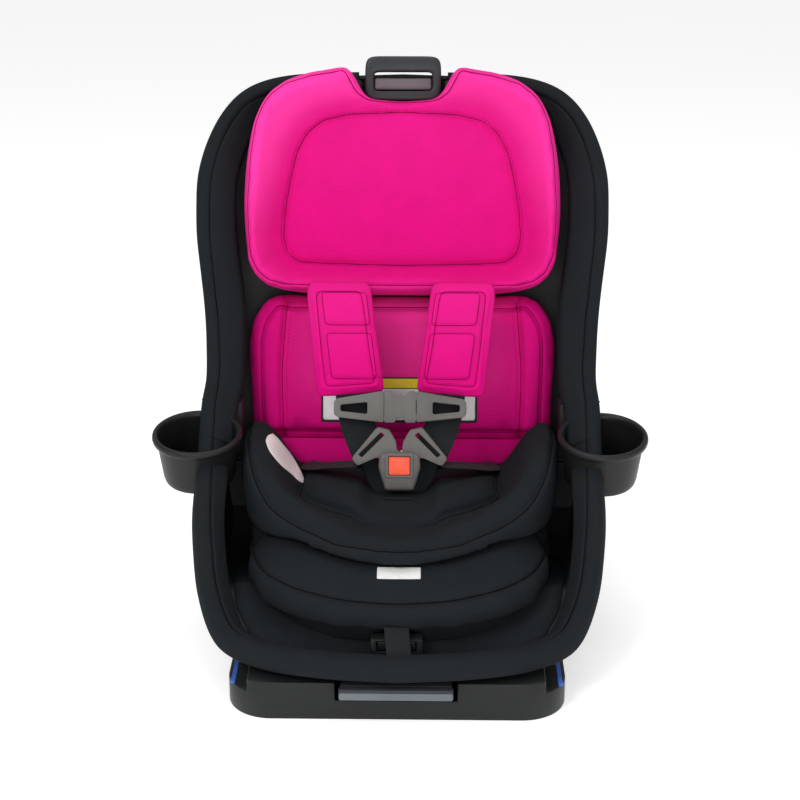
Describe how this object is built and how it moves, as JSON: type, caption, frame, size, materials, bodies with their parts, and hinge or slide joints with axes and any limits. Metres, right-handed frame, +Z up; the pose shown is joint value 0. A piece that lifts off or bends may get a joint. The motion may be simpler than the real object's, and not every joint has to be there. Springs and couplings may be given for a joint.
{
  "type": "child seat",
  "caption": "Convertible child car seat with five-point harness, sliding headrest, cup holders and a shell that reclines on its base.",
  "frame": {"origin": "on the floor, under the middle of the seat's width and depth", "axes": "+Z up, -Y towards the front of the seat, +X to the right of someone facing it"},
  "size_m": [0.528, 0.4758, 0.5904],
  "materials": {
    "black_plastic": "fine moulded texture",
    "cup_plastic": "satin",
    "grey_plastic": "satin",
    "light_grey_plastic": "satin",
    "red_plastic": "smooth",
    "steel": "plated",
    "rubber": "matt",
    "pink_fabric": "knitted mesh with piping",
    "black_fabric": "brushed knit",
    "webbing": "woven webbing",
    "label": "printed tape, blank"
  },
  "bodies": {
    "base": {"base_shell": "black_plastic", "base_floor_panel": "black_plastic", "base_foot_pads": "rubber", "base_rail_left": "steel", "base_rail_right": "steel", "lever_brackets": "black_plastic", "lever_pivot_pin": "steel"},
    "recline_lever": {"recline_handle": "black_plastic", "recline_handle_grip": "light_grey_plastic", "recline_latch_tooth": "steel"},
    "shell": {"outer_shell": "black_plastic", "recline_lugs_left": "steel", "recline_lugs_right": "steel", "recline_rollers_left": "steel", "recline_rollers_right": "steel", "recline_rack": "steel", "headrest_guide_left": "steel", "headrest_guide_right": "steel", "wing_cover_left": "black_fabric", "wing_cover_right": "black_fabric", "back_pad": "pink_fabric", "blank_label": "label", "lip_cover": "black_fabric", "cup_bracket_left": "black_plastic", "cup_bracket_right": "black_plastic", "pan_hinge_pin_left": "steel", "pan_hinge_pin_right": "steel", "shoulder_strap_left": "webbing", "shoulder_strap_right": "webbing", "lap_strap_left": "webbing", "lap_strap_right": "webbing", "harness_adjuster": "black_plastic", "adjuster_strap": "webbing"},
    "headrest": {"headrest_pad": "pink_fabric", "headrest_shell": "black_plastic", "headrest_handle": "grey_plastic", "headrest_runner_left": "steel", "headrest_runner_right": "steel", "headrest_lock_bar": "steel", "headrest_cross_plate": "steel", "shoulder_pad_left": "pink_fabric", "shoulder_pad_right": "pink_fabric"},
    "headrest_release": {"headrest_release_lever": "grey_plastic"},
    "chest_clip": {"chest_clip_left": "grey_plastic"},
    "chest_clip_tongue": {"chest_clip_right": "grey_plastic"},
    "harness_button": {"harness_release_button": "red_plastic"},
    "seat_pan": {"seat_pan": "black_plastic", "seat_cushion": "black_fabric", "seat_insert": "black_fabric", "crotch_strap": "webbing", "crotch_pad": "black_fabric", "buckle_housing": "grey_plastic"},
    "buckle_button": {"buckle_button": "red_plastic"},
    "tongue_left": {"tongue_plate_left": "steel", "tongue_cover_left": "grey_plastic"},
    "tongue_right": {"tongue_plate_right": "steel", "tongue_cover_right": "grey_plastic"},
    "cup_left": {"cup_holder_left": "cup_plastic"},
    "cup_right": {"cup_holder_right": "cup_plastic"}
  },
  "joints": [
    {"name": "recline_handle_lift", "type": "hinge", "parent": "base", "child": "recline_lever", "pos_m": [0, -0.165, 0.024], "axis": [-1, 0, 0], "range_deg": [0, 5], "stiffness_Nm_per_rad": 4, "springref_deg": -5.73},
    {"name": "shell_recline", "type": "hinge", "parent": "base", "child": "shell", "pos_m": [0, 0, 0.47], "axis": [-1, 0, 0], "range_deg": [0, 16]},
    {"name": "headrest_height", "type": "slide", "parent": "shell", "child": "headrest", "axis": [0, 0.2588, 0.9659], "range_m": [0, 0.15], "deforming": ["shoulder_strap_left", "shoulder_strap_right"]},
    {"name": "headrest_release_squeeze", "type": "slide", "parent": "headrest", "child": "headrest_release", "axis": [0, 0.2588, 0.9659], "range_m": [0, 0.006], "stiffness_N_per_m": 500, "springref_m": -0.004},
    {"name": "chest_clip_height", "type": "slide", "parent": "shell", "child": "chest_clip", "axis": [0, -0.3746, -0.9272], "range_m": [0, 0.01]},
    {"name": "chest_clip_open", "type": "slide", "parent": "chest_clip", "child": "chest_clip_tongue", "axis": [1, 0, 0], "range_m": [0, 0.028]},
    {"name": "harness_release_press", "type": "slide", "parent": "shell", "child": "harness_button", "axis": [0, 1, 0], "range_m": [0, 0.003], "stiffness_N_per_m": 400, "springref_m": -0.002},
    {"name": "seat_pan_lift", "type": "hinge", "parent": "shell", "child": "seat_pan", "pos_m": [0, 0.1, 0.15], "axis": [-1, 0, 0], "range_deg": [0, 5]},
    {"name": "buckle_button_press", "type": "slide", "parent": "seat_pan", "child": "buckle_button", "axis": [0, 0.9659, -0.2588], "range_m": [0, 0.004], "stiffness_N_per_m": 400, "springref_m": -0.003},
    {"name": "tongue_left_release", "type": "slide", "parent": "seat_pan", "child": "tongue_left", "axis": [0, 0.2588, 0.9659], "range_m": [0, 0.025]},
    {"name": "tongue_right_release", "type": "slide", "parent": "seat_pan", "child": "tongue_right", "axis": [0, 0.2588, 0.9659], "range_m": [0, 0.025]},
    {"name": "cup_left_lift", "type": "slide", "parent": "shell", "child": "cup_left", "axis": [0, -0.1564, 0.9877], "range_m": [0, 0.07]},
    {"name": "cup_right_lift", "type": "slide", "parent": "shell", "child": "cup_right", "axis": [0, -0.1564, 0.9877], "range_m": [0, 0.07]}
  ]
}
